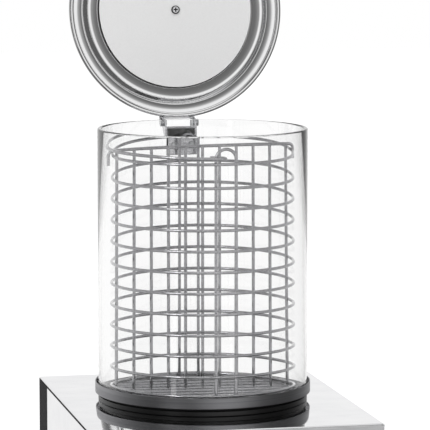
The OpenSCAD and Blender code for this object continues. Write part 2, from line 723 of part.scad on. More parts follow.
module dish() {
    f = dish_floor - dish_t / 2;
    wall = dish_r - dish_t;
    floor_path = concat([[dish_hole_r, collar_top], [dish_hole_r, f], [ridge_ring_r - ridge_r, f]],
        arc([ridge_ring_r, f], ridge_r, 150, 30, 4), [[ridge_ring_r + ridge_r, f], [wall, f]]);
    lip = concat(arc([dish_r - dish_t / 2, lip_top - dish_t / 2], dish_t / 2, 180, 0, 6),
        [[dish_r, top + seal_h - skirt], [wall, top + seal_h - skirt]]);
    color(steel) rotate_extrude() polygon(strip(floor_path, dish_t, lip));
}

module steam_plate() color(steel) translate([0, 0, collar_top]) linear_extrude(plate_t)
    difference() {
        circle(r = steam_r);
        circle(d = steam_hole_d);
        for (c = [1:steam_circles], i = [0:6 * c - 1]) rotate(i * 60 / c + c * 7)
            translate([c * steam_pitch, 0]) circle(d = steam_hole_d, $fn = 24);
    }

module glass_cylinder() color(clear) difference() {
    translate([0, 0, glass_z]) ring(glass_r, glass_h, glass_in_r);
    at_bolts() translate([0, 0, glass_in_r - 5]) cylinder(d = glass_hole_d, h = glass_wall + 10);
}

// The clamp bolts' axes, with +Z pointing out of the back of the glass
module at_bolts() for (s = [-1, 1]) translate([s * bolt_pitch / 2, 0, bolt_z])
    rotate([-90, 0, 0]) children();

module pivoted(x, t) translate([x, 0, 0]) rotate([90, 0, 90]) linear_extrude(t) children();

module hinge_bracket() {
    ear = concat([[web_y, web_top - 1]],
        arc([pivot_out, pivot_z], lobe_r, 135, 20, 6),
        [[pivot_out + stop_r * cos(stop_a), pivot_z - stop_r * sin(stop_a)],
         [pivot_out + 4, pivot_z - 7], [web_back, pivot_z - 20], [web_y, pivot_z - 20]]);
    color(steel) difference() {
        union() {
            translate([-bracket_x, web_y, web_top - bracket_h])
                cube([bracket_w, bracket_t, bracket_h]);
            for (x = [-bracket_x, bracket_x - bracket_t]) pivoted(x, bracket_t) polygon(ear);
        }
        translate([-bracket_w, pivot_out, pivot_z]) rotate([0, 90, 0])
            cylinder(d = pivot_d + 2 * running, h = 2 * bracket_w);
        at_bolts() translate([0, 0, web_y - through])
            cylinder(d = bolt_d + 2 * seat, h = bracket_t + 2 * through);
    }
}

module bracket_pad() color(black) difference() {
    translate([-bracket_x + 2.5, glass_r - 4, web_top - bracket_h + 2])
        cube([bracket_w - 5, pad_t + 4, bracket_h - 4]);
    translate([0, 0, glass_z]) cylinder(r = glass_r, h = glass_h, $fn = 360);
    at_bolts() translate([0, 0, glass_in_r]) cylinder(d = bolt_d + 2 * seat, h = 20);
}

module clamp_plate() color(steel) difference() {
    translate([-clamp_w / 2, clamp_y - bracket_t, bolt_z - clamp_h / 2])
        cube([clamp_w, bracket_t, clamp_h]);
    at_bolts() translate([0, 0, clamp_y - 10]) cylinder(d = bolt_d + 2 * seat, h = 20);
}

module clamp_pad() color(black) difference() {
    intersection() {
        translate([-clamp_w / 2 + 1, clamp_y, bolt_z - clamp_h / 2 + 1])
            cube([clamp_w - 2, pad_t + 2, clamp_h - 2]);
        translate([0, 0, glass_z]) cylinder(r = glass_in_r, h = glass_h, $fn = 360);
    }
    at_bolts() translate([0, 0, clamp_y - 10]) cylinder(d = bolt_d + 2 * seat, h = 20);
}

module clamp_bolts() color(steel) at_bolts() translate([0, 0, web_back]) {
    reach = web_back - clamp_y + bracket_t + clamp_nut_h - 0.5;
    screw(bolt_d, reach, bolt_d * 1.9, bolt_d * 0.55);
}

module clamp_nuts() color(steel) at_bolts()
    translate([0, 0, clamp_y - bracket_t - clamp_nut_h]) difference() {
        cylinder(d = clamp_nut_d, h = clamp_nut_h, $fn = 6);
        translate([0, 0, 0.5]) cylinder(d = bolt_d, h = clamp_nut_h);
    }

module hinge_pivots() {
    inside = bracket_x - bracket_t;
    outside = lug_x + bracket_t + gap;
    color(steel) for (s = [0, 180]) translate([0, pivot_out, pivot_z]) rotate([0, 90, s]) {
        translate([0, 0, inside - 1.2]) cylinder(d = pivot_d + 3, h = 1.2);
        translate([0, 0, inside - 0.6]) cylinder(d = pivot_d, h = outside - inside + 1.2);
        translate([0, 0, outside]) cylinder(d = pivot_d + 3, h = 1.2);
    }
}

// Turns what is drawn closed about the hinge axis to the open rest
module opened() translate([0, pivot_out, pivot_z]) rotate([-lid_open, 0, 0])
    translate([0, -pivot_out, -pivot_z]) children();
module on_rim() opened() translate([0, 0, rim]) children();

module lid_shell() {
    edge = lid_r - bead_r;
    shoulder = 10;
    bead_end = 180 + asin((bead_r - lid_t) / bead_r);
    path = concat([[lid_screw_d / 2 + 0.3, dome_h]],
        arc([disc_r - 12.3, dome_h - shoulder], shoulder, 90, 12, 6),
        [[disc_r + 1.2, -0.2], [disc_r + 5, -1.3], [disc_r + 5.8, -2.1]],
        arc([disc_r + 10.4, -1.6], 1.9, 230, 330, 5),
        curve([disc_r + 13, -0.6], [disc_r + 14.4, crest + 0.3], [disc_r + 18, crest], 4),
        curve([disc_r + 20, crest - 0.1], [disc_r + 21.6, crest - 0.3], [disc_r + 22.4, 1], 3),
        [[edge - bead_r, bead_z + bead_r - 0.6]]);
    bead = arc([edge, bead_z], bead_r, 90, -bead_end, 20);
    color(bright) on_rim() rotate_extrude() polygon(strip(path, lid_t, bead));
}

module lid_disc() color([0.93, 0.93, 0.93]) on_rim() translate([0, 0, disc_z])
    ring(disc_r, disc_t, lid_screw_d / 2 + seat);

module disc_spacer() color(steel) on_rim() translate([0, 0, disc_z + disc_t])
    ring(5, dome_h - lid_t / 2 - disc_z - disc_t, lid_screw_d / 2 + seat);

module lid_screw() color(steel) on_rim() translate([0, 0, disc_z]) rotate([180, 0, 0])
    screw(lid_screw_d, knob_z + lid_knob_h / 2 - disc_z, lid_screw_head_d, lid_screw_head_h);

module knob_spacer() color(steel) on_rim() translate([0, 0, dome_h + lid_t / 2])
    ring(9, spacer_h, lid_screw_d / 2 + seat);

module lid_knob() {
    r = lid_knob_d / 2;
    h = lid_knob_h;
    color(black) on_rim() translate([0, 0, knob_z]) difference() {
        rotate_extrude() polygon(concat([[0, 0], [r * 0.55, 0], [r * 0.55, 2]],
            curve([r * 0.5, 3], [r * 0.5, h * 0.3], [r * 0.9, h * 0.5], 4),
            curve([r * 0.98, h * 0.62], [r * 1.04, h * 0.95], [r * 0.55, h], 5), [[0, h]]));
        translate([0, 0, -through]) cylinder(d = lid_screw_d, h = h / 2 + through);
    }
}

module lid_bracket() {
    plate_y = lid_r - 18;
    lug_front = lid_r - 0.7;
    flange = 3;                          // strip of the plate left beside each lug
    color(steel) opened() {
        translate([0, 0, rim + lid_plate_z]) difference() {
            translate([-lug_x - bracket_t, plate_y, 0])
                cube([2 * (lug_x + bracket_t), pivot_out + lobe_r - plate_y, bracket_t]);
            translate([flange - lug_x, lid_r + flange / 4, -through])
                cube([2 * (lug_x - flange), pivot_out, bracket_t + 2 * through]);
        }
        difference() {
            for (x = [-lug_x - bracket_t, lug_x]) pivoted(x, bracket_t) union() {
                translate([pivot_out, pivot_z]) circle(r = lobe_r);
                polygon([[lug_front, rim + lid_plate_z + bracket_t / 2],
                    [pivot_out + lobe_r, rim + lid_plate_z + bracket_t / 2],
                    [pivot_out + lobe_r, pivot_z], [pivot_out - lobe_r, pivot_z]]);
            }
            translate([-bracket_w, pivot_out, pivot_z]) rotate([0, 90, 0])
                cylinder(d = pivot_d + 2 * running, h = 2 * bracket_w);
        }
    }
}

module hairpin() {
    leg_top = hairpin_top - hairpin_w / 2;
    for (s = [-1, 1]) translate([s * hairpin_w / 2, 0, floor_rod_z - rod_wire / 2])
        cylinder(d = rod_wire, h = leg_top - floor_rod_z + rod_wire / 2, $fn = 32);
    translate([0, 0, leg_top]) rotate([90, 0, 0]) rotate_extrude(angle = 180)
        translate([hairpin_w / 2, 0]) circle(d = rod_wire, $fn = 32);
}

module basket_cage() color(steel) union() {
    for (z = ring_zs) translate([0, 0, z]) rotate_extrude()
        translate([ring_r, 0]) circle(d = ring_wire, $fn = 32);
    for (s = [0, 180]) rotate(s) rotate(s == 0 ? hairpin_turn : -hairpin_turn)
        translate([0, -hairpin_y, 0]) hairpin();
    for (y = floor_rod_ys) {
        l = 2 * sqrt(ring_r * ring_r - y * y);
        translate([-l / 2, y, floor_rod_z]) rotate([0, 90, 0])
            cylinder(d = rod_wire, h = l, $fn = 32);
    }
}

module basket_divider() {
    pitch = 2 * divider_end / (divider_rods - 1);
    bar_l = 2 * (hook_x - hook_bend);
    color(steel) union() {
        for (i = [0:divider_rods - 1]) translate([i * pitch - divider_end, 0, floor_rod_z])
            cylinder(d = rod_wire, h = bar_z - floor_rod_z, $fn = 32);
        for (end = [[bar_z, bar_l / 2], [floor_rod_z, divider_end + rod_wire / 4]])
            translate([-end[1], 0, end[0]]) rotate([0, 90, 0])
                cylinder(d = rod_wire, h = 2 * end[1], $fn = 32);
        for (s = [0, 180]) rotate(s) {
            translate([bar_l / 2, 0, bar_z - hook_bend]) rotate([90, 0, 0])
                rotate_extrude(angle = 90) translate([hook_bend, 0])
                    circle(d = rod_wire, $fn = 32);
            translate([hook_x, 0, bar_z - hook_bend - hook_l + hook_bend])
                cylinder(d = rod_wire, h = hook_l - hook_bend, $fn = 32);
        }
    }
}

module bail_handle() {
    shoulder_a = 60;
    out = curve([-18, bail_side], [-32, bail_side],
        [-bail_r * cos(shoulder_a), bail_r * sin(shoulder_a)], 5);
    hook = concat([[-bail_hook_l, bail_hook_y - bail_bend]],
        arc([bail_hook_x, bail_hook_y], bail_bend, -90, 90, 8));
    half = concat(hook, out);
    mirrored = [for (p = reversed(half)) [p[0], -p[1]]];
    bow = arc([0, 0], bail_r, 180 - shoulder_a, 180 + shoulder_a, 26);
    flat = concat(half, [for (i = [1:len(bow) - 2]) bow[i]], mirrored);
    color(steel) translate([bail_x, 0, bail_z]) rotate([0, bail_tilt, 0])
        translate([-bail_x, 0, 0]) tube(deep(flat, 0), rod_wire / 2, 12, [0, 0, 1]);
}

cover();
front_panel();
rear_panel();
base_plate();
feet();
foot_screws();
cover_screws();
boiler_pan();
heating_element();
element_nuts();
safety_cutout();
thermostat_body();
thermostat_bulb();
terminal_block();
wiring();
cable_gland();
gland_nut();
switch_body();
power_rocker();
lamp_holder();
indicator_lamp();
dial_ring();
thermostat_spindle();
thermostat_knob();
drain_elbow();
drain_pipe();
drain_valve();
drain_lever();
seal_ring();
dish();
steam_plate();
glass_cylinder();
hinge_bracket();
bracket_pad();
clamp_plate();
clamp_pad();
clamp_bolts();
clamp_nuts();
hinge_pivots();
lid_shell();
lid_disc();
disc_spacer();
lid_screw();
knob_spacer();
lid_knob();
lid_bracket();
basket_cage();
basket_divider();
bail_handle();
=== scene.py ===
import json
import math

import bmesh
import bpy
from mathutils import Matrix, Vector


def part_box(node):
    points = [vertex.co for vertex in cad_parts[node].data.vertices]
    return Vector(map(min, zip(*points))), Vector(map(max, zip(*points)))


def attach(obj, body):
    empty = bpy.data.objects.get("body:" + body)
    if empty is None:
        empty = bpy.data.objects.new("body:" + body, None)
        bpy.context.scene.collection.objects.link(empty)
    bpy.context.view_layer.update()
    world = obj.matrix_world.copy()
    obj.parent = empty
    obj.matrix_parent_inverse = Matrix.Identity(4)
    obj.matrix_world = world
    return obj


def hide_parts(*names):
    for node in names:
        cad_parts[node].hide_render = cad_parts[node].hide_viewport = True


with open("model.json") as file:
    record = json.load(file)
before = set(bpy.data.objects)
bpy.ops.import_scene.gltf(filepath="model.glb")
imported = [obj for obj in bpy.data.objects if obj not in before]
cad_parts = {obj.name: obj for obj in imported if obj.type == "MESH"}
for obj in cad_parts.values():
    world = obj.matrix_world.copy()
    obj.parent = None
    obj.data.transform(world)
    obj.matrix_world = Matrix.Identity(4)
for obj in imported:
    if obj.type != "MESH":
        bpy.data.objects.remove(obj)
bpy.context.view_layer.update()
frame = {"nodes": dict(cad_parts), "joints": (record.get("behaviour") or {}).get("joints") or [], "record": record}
nodes = frame["nodes"]
mm = 0.001
samePoint = 1e-7  # points nearer to each other than this are one
bodyOf = {node: body for body, members in frame["record"]["behaviour"]["bodies"].items() for node in members}
slotOf = {part["node"]: part["material_slot"] for part in frame["record"]["subparts"]}


def jointPoint(name):
    joint = next(j for j in frame["joints"] if j["name"] == name)
    return Vector(joint["pos_m"])


def cadSize(node):
    low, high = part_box(node)
    return high - low


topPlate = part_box("cover")[1].z
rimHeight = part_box("glass_cylinder")[1].z
lidPivot = jointPoint("lid_hinge")
bailPivot = jointPoint("bail_swing")
# The lid is drawn closed, in heights above the rim of the glass, and opened about its hinge by this angle
lidTurn = math.radians(-96)
lidOpen = Matrix.Translation(lidPivot) @ Matrix.Rotation(lidTurn, 4, "X") @ Matrix.Translation(-lidPivot)
lidMiddle = lidOpen @ Vector((0, 0, rimHeight))
print("frame loaded")

# Camera, at the angle and distance that the photograph was taken from (degrees, metres, millimetres of lens)
camera = {
    "azimuth": -12.4,
    "elevation": 6.755,
    "distance": 2.667,
    "aimAbovePlate": 0.17636,
    "aimToTheRight": 0.01183,
    "lens": 234.35,
    "sensorWidth": 36,
    "clipFrom": 0.1,
    "clipTo": 50,
}


def makeCamera():
    a = math.radians(camera["azimuth"])
    e = math.radians(camera["elevation"])
    back = Vector((math.sin(a) * math.cos(e), -math.cos(a) * math.cos(e), math.sin(e)))
    right = Vector((math.cos(a), math.sin(a), 0))
    aim = Vector((0, 0, topPlate + camera["aimAbovePlate"])) + right * camera["aimToTheRight"]
    data = bpy.data.cameras.new("camera")
    data.sensor_width = camera["sensorWidth"]
    data.lens = camera["lens"]
    data.clip_start = camera["clipFrom"]
    data.clip_end = camera["clipTo"]
    eye = bpy.data.objects.new("camera", data)
    eye.location = aim + back * camera["distance"]
    eye.rotation_mode = "QUATERNION"
    eye.rotation_quaternion = (-back).to_track_quat("-Z", "Y")
    bpy.context.scene.collection.objects.link(eye)
    bpy.context.scene.camera = eye


makeCamera()
bpy.context.scene.view_settings.view_transform = "Standard"
print("camera placed")


# Colours are written as sRGB hex and turned to linear here
def colour(code):
    values = [int(code[i:i + 2], 16) / 255 for i in (1, 3, 5)]
    return [v / 12.92 if v <= 0.04045 else ((v + 0.055) / 1.055) ** 2.4 for v in values] + [1]


# Adds one node to a tree. An input given as another node's socket is linked.
def add(tree, kind, inputs=None, **settings):
    node = tree.nodes.new(kind)
    for key, value in settings.items():
        setattr(node, key, value)
    for key, value in (inputs or {}).items():
        if isinstance(value, bpy.types.NodeSocket):
            tree.links.new(value, node.inputs[key])
        else:
            node.inputs[key].default_value = value
    return node


# Studio: a white tent. Straight behind the object and overhead it is white. A round screen stands behind the
# camera, and black cloth hangs round that screen, which draws dark edges on the steel.
studio = {
    "skyOnMattSurfaces": 0.62,
    "skyThroughGlass": 0.8,
    # directions from the object to the middle of the white behind it and to the middle of the screen
    "behind": (0.2147, 0.9767, 0),
    "screen": (0.213, -0.973, 0.086),
    # where the white behind and overhead starts and is full, as the cosine of the angle to its middle
    "behindEdge": (0.8, 0.93),
    "overheadEdge": (0.8, 0.95),
    # how bright the tent is, from the middle of the screen (0) round to the point across from it (1)
    "walls": [(0.0, 1.0), (0.02, 0.92), (0.047, 0.5), (0.117, 0.18), (0.2, 0.12), (0.45, 0.12), (0.6, 0.3),
              (0.76, 0.55), (0.87, 0.9), (0.94, 1.0)],
    "floorWidth": 14.0,
    "floorColour": "#E4E4E4",
    "floorLift": 0.62,
    "lampsAimAt": (0, 0, 0.2),
    "lamps": [
        # name, place, width, height, watts, whether shiny things mirror it
        ("overhead", (0.1, -0.3, 2.3), 1.6, 1.4, 13, False),
        ("leftKey", (-1.7, -1.5, 1.3), 0.9, 1.2, 12, False),
        ("leftStrip", (-1.45, -1.5, 0.75), 0.22, 1.5, 1.5, True),
    ],
}


def makeWorld():
    world = bpy.data.worlds.new("studio")
    bpy.context.scene.world = world
    world.use_nodes = True
    tree = world.node_tree
    tree.nodes.clear()
    ray = add(tree, "ShaderNodeLightPath").outputs
    direction = add(tree, "ShaderNodeTexCoord").outputs["Generated"]
    part = add(tree, "ShaderNodeSeparateXYZ", {0: direction}).outputs
    turned = add(tree, "ShaderNodeVectorMath", {0: direction, 1: studio["screen"]},
                 operation="DOT_PRODUCT").outputs["Value"]
    share = add(tree, "ShaderNodeMapRange", {0: turned, 1: 1, 2: -1}).outputs[0]
    straight = add(tree, "ShaderNodeVectorMath", {0: direction, 1: studio["behind"]},
                   operation="DOT_PRODUCT").outputs["Value"]
    start, full = studio["behindEdge"]
    back = add(tree, "ShaderNodeMapRange", {0: straight, 1: start, 2: full}).outputs[0]
    wall = add(tree, "ShaderNodeValToRGB", {0: share})
    stops = wall.color_ramp.elements
    while len(stops) < len(studio["walls"]):
        stops.new(1)
    for stop, (place, strength) in zip(stops, studio["walls"]):
        stop.position = place
        stop.color = (strength, strength, strength, 1)
    start, full = studio["overheadEdge"]
    top = add(tree, "ShaderNodeMapRange", {0: part["Z"], 1: start, 2: full},
              interpolation_type="SMOOTHSTEP").outputs[0]
    ends = add(tree, "ShaderNodeMath", {0: back, 1: top}, operation="MAXIMUM").outputs[0]
    shiny = add(tree, "ShaderNodeMath", {0: wall.outputs[0], 1: ends}, operation="MAXIMUM").outputs[0]
    plain = add(tree, "ShaderNodeMix", {0: ray["Is Diffuse Ray"], 2: shiny,
                                        3: studio["skyOnMattSurfaces"]}).outputs[0]
    through = add(tree, "ShaderNodeMath", {0: ray["Is Transmission Ray"], 1: studio["skyThroughGlass"]},
                  operation="MULTIPLY").outputs[0]
    clear = add(tree, "ShaderNodeMath", {0: ray["Is Camera Ray"], 1: through}, operation="MAXIMUM").outputs[0]
    seen = add(tree, "ShaderNodeMix", {0: clear, 2: plain, 3: 1}).outputs[0]
    sky = add(tree, "ShaderNodeBackground", {"Color": (1, 1, 1, 1), "Strength": seen})
    add(tree, "ShaderNodeOutputWorld", {0: sky.outputs[0]})


def makeFloor():
    half = studio["floorWidth"] / 2
    mesh = bpy.data.meshes.new("floor")
    corners = [(-half, -half, 0), (half, -half, 0), (half, half, 0), (-half, half, 0)]
    mesh.from_pydata(corners, [], [(0, 1, 2, 3)])
    floor = bpy.data.objects.new("floor", mesh)
    bpy.context.scene.collection.objects.link(floor)
    material = bpy.data.materials.new("white paper floor")
    material.use_nodes = True
    tree = material.node_tree
    tree.nodes.clear()
    ray = add(tree, "ShaderNodeLightPath").outputs
    paper = add(tree, "ShaderNodeBsdfDiffuse", {"Color": colour(studio["floorColour"])}).outputs[0]
    lift = add(tree, "ShaderNodeMath", {0: ray["Is Camera Ray"], 1: studio["floorLift"]},
               operation="MULTIPLY").outputs[0]
    glow = add(tree, "ShaderNodeEmission", {"Color": (1, 1, 1, 1), "Strength": lift}).outputs[0]
    plain = add(tree, "ShaderNodeAddShader", {0: paper, 1: glow}).outputs[0]
    # Glass passes the white of the paper on. Metal mirrors the tent alone.
    white = add(tree, "ShaderNodeEmission", {"Color": (1, 1, 1, 1), "Strength": 1}).outputs[0]
    behindGlass = add(tree, "ShaderNodeMixShader", {0: ray["Is Transmission Ray"], 1: plain, 2: white})
    nothing = add(tree, "ShaderNodeBsdfTransparent").outputs[0]
    both = add(tree, "ShaderNodeMixShader", {0: ray["Is Glossy Ray"], 1: behindGlass.outputs[0], 2: nothing})
    add(tree, "ShaderNodeOutputMaterial", {0: both.outputs[0]})
    mesh.materials.append(material)


def makeLamps():
    for name, place, width, height, watts, mirrored in studio["lamps"]:
        data = bpy.data.lights.new(name, "AREA")
        data.shape = "RECTANGLE"
        data.size = width
        data.size_y = height
        data.energy = watts
        lamp = bpy.data.objects.new(name, data)
        lamp.location = place
        lamp.visible_glossy = mirrored
        lamp.rotation_mode = "QUATERNION"
        lamp.rotation_quaternion = (Vector(studio["lampsAimAt"]) - Vector(place)).to_track_quat("-Z", "Y")
        bpy.context.scene.collection.objects.link(lamp)


makeWorld()
makeFloor()
makeLamps()
print("studio lit")


# Materials, one for each finish. Patterns take the place of the base colour and roughness given here.
def newMaterial(name, base, roughness, **shader):
    material = bpy.data.materials.new(name)
    material.use_nodes = True
    tree = material.node_tree
    surface = tree.nodes["Principled BSDF"]
    surface.inputs["Base Color"].default_value = colour(base)
    surface.inputs["Roughness"].default_value = roughness
    for key, value in shader.items():
        surface.inputs[key.replace("_", " ")].default_value = value
    return material, tree, surface


# A point on the surface, after it is centred and turned, and stretched to pattern cells of that size
def patternPlace(tree, cell, turn=(0, 0, 0), centre=(0, 0, 0)):
    point = add(tree, "ShaderNodeTexCoord").outputs["Object"]
    placed = add(tree, "ShaderNodeMapping", {"Vector": point, "Location": centre, "Rotation": turn},
                 vector_type="TEXTURE").outputs[0]
    return add(tree, "ShaderNodeMapping", {"Vector": placed, "Scale": [1 / c for c in cell]}).outputs[0]


# The same, measured round the Z axis: distance from the axis, height and angle
def roundPlace(tree, cell, turn=(0, 0, 0), centre=(0, 0, 0)):
    point = patternPlace(tree, (1, 1, 1), turn, centre)
    part = add(tree, "ShaderNodeSeparateXYZ", {0: point}).outputs
    flat = add(tree, "ShaderNodeCombineXYZ", {0: part["X"], 1: part["Y"]}).outputs[0]
    radius = add(tree, "ShaderNodeVectorMath", {0: flat}, operation="LENGTH").outputs["Value"]
    angle = add(tree, "ShaderNodeMath", {0: part["Y"], 1: part["X"]}, operation="ARCTAN2").outputs[0]
    made = add(tree, "ShaderNodeCombineXYZ", {0: radius, 1: part["Z"], 2: angle}).outputs[0]
    return add(tree, "ShaderNodeMapping", {"Vector": made, "Scale": [1 / c for c in cell]}).outputs[0]


# The noise that patterns are drawn with: its detail, the part of its range that counts and its relief's depth
noise = {"detail": 3, "from": 0.3, "to": 0.7, "depth": mm / 50}


# Ties colour, roughness and bump to the noise. Tones are the two colours that it runs between.
def texture(tree, surface, place, tones, rough, bump):
    cloud = add(tree, "ShaderNodeTexNoise", {"Vector": place, "Scale": 1,
                                             "Detail": noise["detail"]}).outputs["Fac"]
    spread = add(tree, "ShaderNodeMapRange", {0: cloud, 1: noise["from"], 2: noise["to"]}).outputs[0]
    tone = add(tree, "ShaderNodeMix", {0: spread, 6: colour(tones[0]), 7: colour(tones[1])}, data_type="RGBA")
    gloss = add(tree, "ShaderNodeMapRange", {0: cloud, 1: noise["from"], 2: noise["to"],
                                             3: rough[0], 4: rough[1]}).outputs[0]
    relief = add(tree, "ShaderNodeBump", {"Strength": bump, "Distance": noise["depth"], "Height": cloud})
    tree.links.new(tone.outputs[2], surface.inputs["Base Color"])
    tree.links.new(gloss, surface.inputs["Roughness"])
    tree.links.new(relief.outputs[0], surface.inputs["Normal"])


materials = {}


# The cell is the size of the pattern in millimetres along X, Y and Z
def finish(slot, name, tones, rough, bump, cell, **shader):
    material, tree, surface = newMaterial(name, tones[0], rough[0], **shader)
    texture(tree, surface, patternPlace(tree, [c * mm for c in cell]), tones, rough, bump)
    materials[slot] = material


# The edge tint is what the metal mirrors at a grazing angle
def metal(slot, name, tones, rough, bump, cell, edgeTint="#FFFFFF"):
    finish(slot, name, tones, rough, bump, cell, Metallic=1, Specular_Tint=colour(edgeTint))


# Satin sheet brushed along its length. The real grain is 0.15 mm wide, and is drawn at 0.6 mm to show.
metal("brushed_steel", "brushed stainless steel", ("#D2D2D3", "#BEBEC0"), (0.2, 0.34), 0.12, (30, 0.6, 0.6))
# The same sheet as it comes from the mill, duller and rougher
metal("dark_brushed_steel", "coarse brushed stainless steel", ("#565658", "#444446"), (0.3, 0.42), 0.2,
      (24, 0.9, 0.9), edgeTint="#8E8E8E")
# Steel wire with a satin electropolish
metal("steel_wire", "electropolished steel wire", ("#A8A8AA", "#98989B"), (0.08, 0.13), 0.03, (3, 3, 3))
# Zinc plate over steel: soft grey with cloudy patches
metal("zinc_screws", "zinc plated steel", ("#C4C5C6", "#A8AAAC"), (0.25, 0.42), 0.08, (2, 2, 2))
# Cast and turned brass, slightly dulled
metal("brass", "turned brass", ("#D2AE62", "#B8924C"), (0.22, 0.4), 0.08, (2, 2, 2))
# Drawn copper, dark where it was handled
metal("copper", "drawn copper", ("#C98560", "#A8653F"), (0.25, 0.42), 0.06, (4, 4, 4))
# Moulded silicone, matt black, with a faint bloom
finish("black_rubber", "black silicone rubber", ("#0B0B0B", "#131313"), (0.3, 0.42), 0.05, (1.2, 1.2, 1.2))
# Moulded phenolic: deep black and smooth
finish("black_plastic", "black phenolic moulding", ("#0F0F10", "#181819"), (0.18, 0.3), 0.04, (2, 2, 2))
# Glossy moulded nylon
finish("red_plastic", "red moulded nylon", ("#B3211C", "#9E1A17"), (0.25, 0.36), 0.04, (2, 2, 2))
# Moulded melamine: pale, dense and only slightly shiny
finish("cream_plastic", "cream moulded melamine", ("#E2DCC8", "#D6CFB8"), (0.35, 0.5), 0.05, (2, 2, 2))
# White lacquered disc, with the fine orange skin of sprayed paint
finish("white_disc", "white lacquered disc", ("#F2F2F2", "#EEEEEE"), (0.34, 0.44), 0.03, (1.5, 1.5, 1.5))
# Braided sleeve over wire: dull, with the thread showing as a fine relief
finish("wire_insulation", "fibreglass sleeved wire", ("#A56A45", "#8C5636"), (0.55, 0.75), 0.4,
       (0.8, 0.8, 0.8))
# Moulded lens, half clear
finish("amber_lens", "amber polycarbonate lens", ("#F08A1C", "#E67C10"), (0.1, 0.18), 0.03, (2, 2, 2),
       Transmission_Weight=0.55, IOR=1.58)


# Pressed stainless: the press leaves rings 0.8 mm wide round the middle, long round the turn
def pressedSteel(name, tones, rough, bump, turn=(0, 0, 0), centre=(0, 0, 0)):
    material, tree, surface = newMaterial(name, tones[0], rough[0], Metallic=1)
    texture(tree, surface, roundPlace(tree, (0.8 * mm, 0.8 * mm, 3), turn, centre), tones, rough, bump)
    return material


materials["pressed_steel"] = pressedSteel("pressed stainless steel", ("#C9C9CB", "#AFAFB2"),
                                          (0.14, 0.26), 0.1)
dishSteel = pressedSteel("dull pressed stainless steel", ("#9C9C9E", "#88888B"), (0.34, 0.46), 0.12)
lidSteel = pressedSteel("bright pressed stainless steel", ("#F0F0F0", "#E6E6E7"), (0.09, 0.12), 0.01,
                        (lidTurn, 0, 0), lidMiddle)


# How much of a box, given as half sizes round the middle of a pattern, a point is in
def insideBox(tree, part, **halves):
    found = None
    for axis, half in halves.items():
        size = add(tree, "ShaderNodeMath", {0: part[axis]}, operation="ABSOLUTE").outputs[0]
        near = add(tree, "ShaderNodeMath", {0: size, 1: half}, operation="LESS_THAN").outputs[0]
        if found is not None:
            near = add(tree, "ShaderNodeMath", {0: found, 1: near}, operation="MULTIPLY").outputs[0]
        found = near
    return found


# Lays a dark and dull mark of painted shade over a patterned material. A Mix node takes two numbers at inputs 2
# and 3 and gives the result at output 0, and takes two colours at 6 and 7 and gives the result at 2.
def darken(tree, surface, mask, code, roughness=0.7):
    marks = (("Base Color", colour(code), "RGBA", 6, 2), ("Roughness", roughness, "FLOAT", 2, 0))
    for key, value, kind, first, result in marks:
        old = surface.inputs[key].links[0].from_socket
        mixed = add(tree, "ShaderNodeMix", {0: mask, first: old, first + 1: value}, data_type=kind)
        tree.links.new(mixed.outputs[result], surface.inputs[key])


# The screw in the lid: bright zinc, with painted shade in its cross recess and round the edge of its head
screwShadeMarks = {"halfWidth": 0.6, "halfLength": 2.2, "edgeFrom": 3.3, "paintedShade": "#2A2A2C"}


def makeScrewSteel():
    g = screwShadeMarks
    wide, long = g["halfWidth"] * mm, g["halfLength"] * mm
    material, tree, surface = newMaterial("zinc plated lid screw", "#D8D8DA", 0.25, Metallic=1)
    texture(tree, surface, patternPlace(tree, (2 * mm,) * 3), ("#DCDCDE", "#CCCCCE"), (0.22, 0.34), 0.05)
    point = patternPlace(tree, (1, 1, 1), (lidTurn, 0, 0), lidMiddle)
    part = add(tree, "ShaderNodeSeparateXYZ", {0: point}).outputs
    upright = insideBox(tree, part, X=wide, Y=long)
    level = insideBox(tree, part, X=long, Y=wide)
    flat = add(tree, "ShaderNodeCombineXYZ", {0: part["X"], 1: part["Y"]}).outputs[0]
    radius = add(tree, "ShaderNodeVectorMath", {0: flat}, operation="LENGTH").outputs["Value"]
    edge = add(tree, "ShaderNodeMath", {0: radius, 1: g["edgeFrom"] * mm},
               operation="GREATER_THAN").outputs[0]
    cross = add(tree, "ShaderNodeMath", {0: upright, 1: level}, operation="MAXIMUM").outputs[0]
    mask = add(tree, "ShaderNodeMath", {0: cross, 1: edge}, operation="MAXIMUM").outputs[0]
    # Painted shade: the cross recess and a ring round the edge of the head are made dark and dull
    darken(tree, surface, mask, g["paintedShade"])
    return material


# The cover: buffed sheet, close to a mirror, with the faint cloud that polishing leaves, and with a painted dark
# line of shade and reflection along the folds at the left and right of its top
coverFoldShade = {"belowTop": 1.8, "halfHeight": 1.4, "depth": 0.25, "shadow": "#08080A"}


def makeCoverSteel():
    g = coverFoldShade
    material, tree, surface = newMaterial("mirror polished stainless steel", "#ECECED", 0.03, Metallic=1)
    cloud = patternPlace(tree, (30 * mm, 20 * mm, 20 * mm))
    texture(tree, surface, cloud, ("#E6E6E7", "#DEDEE0"), (0.02, 0.05), 0.003)
    point = patternPlace(tree, (1, 1, 1), centre=(0, 0, topPlate - g["belowTop"] * mm))
    part = add(tree, "ShaderNodeSeparateXYZ", {0: point}).outputs
    size = add(tree, "ShaderNodeMath", {0: part["X"]}, operation="ABSOLUTE").outputs[0]
    outside = cadSize("cover").x / 2 - g["depth"] * mm
    side = add(tree, "ShaderNodeMath", {0: size, 1: outside}, operation="GREATER_THAN").outputs[0]
    band = insideBox(tree, part, Z=g["halfHeight"] * mm)
    line = add(tree, "ShaderNodeMath", {0: band, 1: side}, operation="MULTIPLY").outputs[0]
    # Painted shade and dark reflection: a dark, dull line along the folds at the left and right of the top
    darken(tree, surface, line, g["shadow"])
    return material


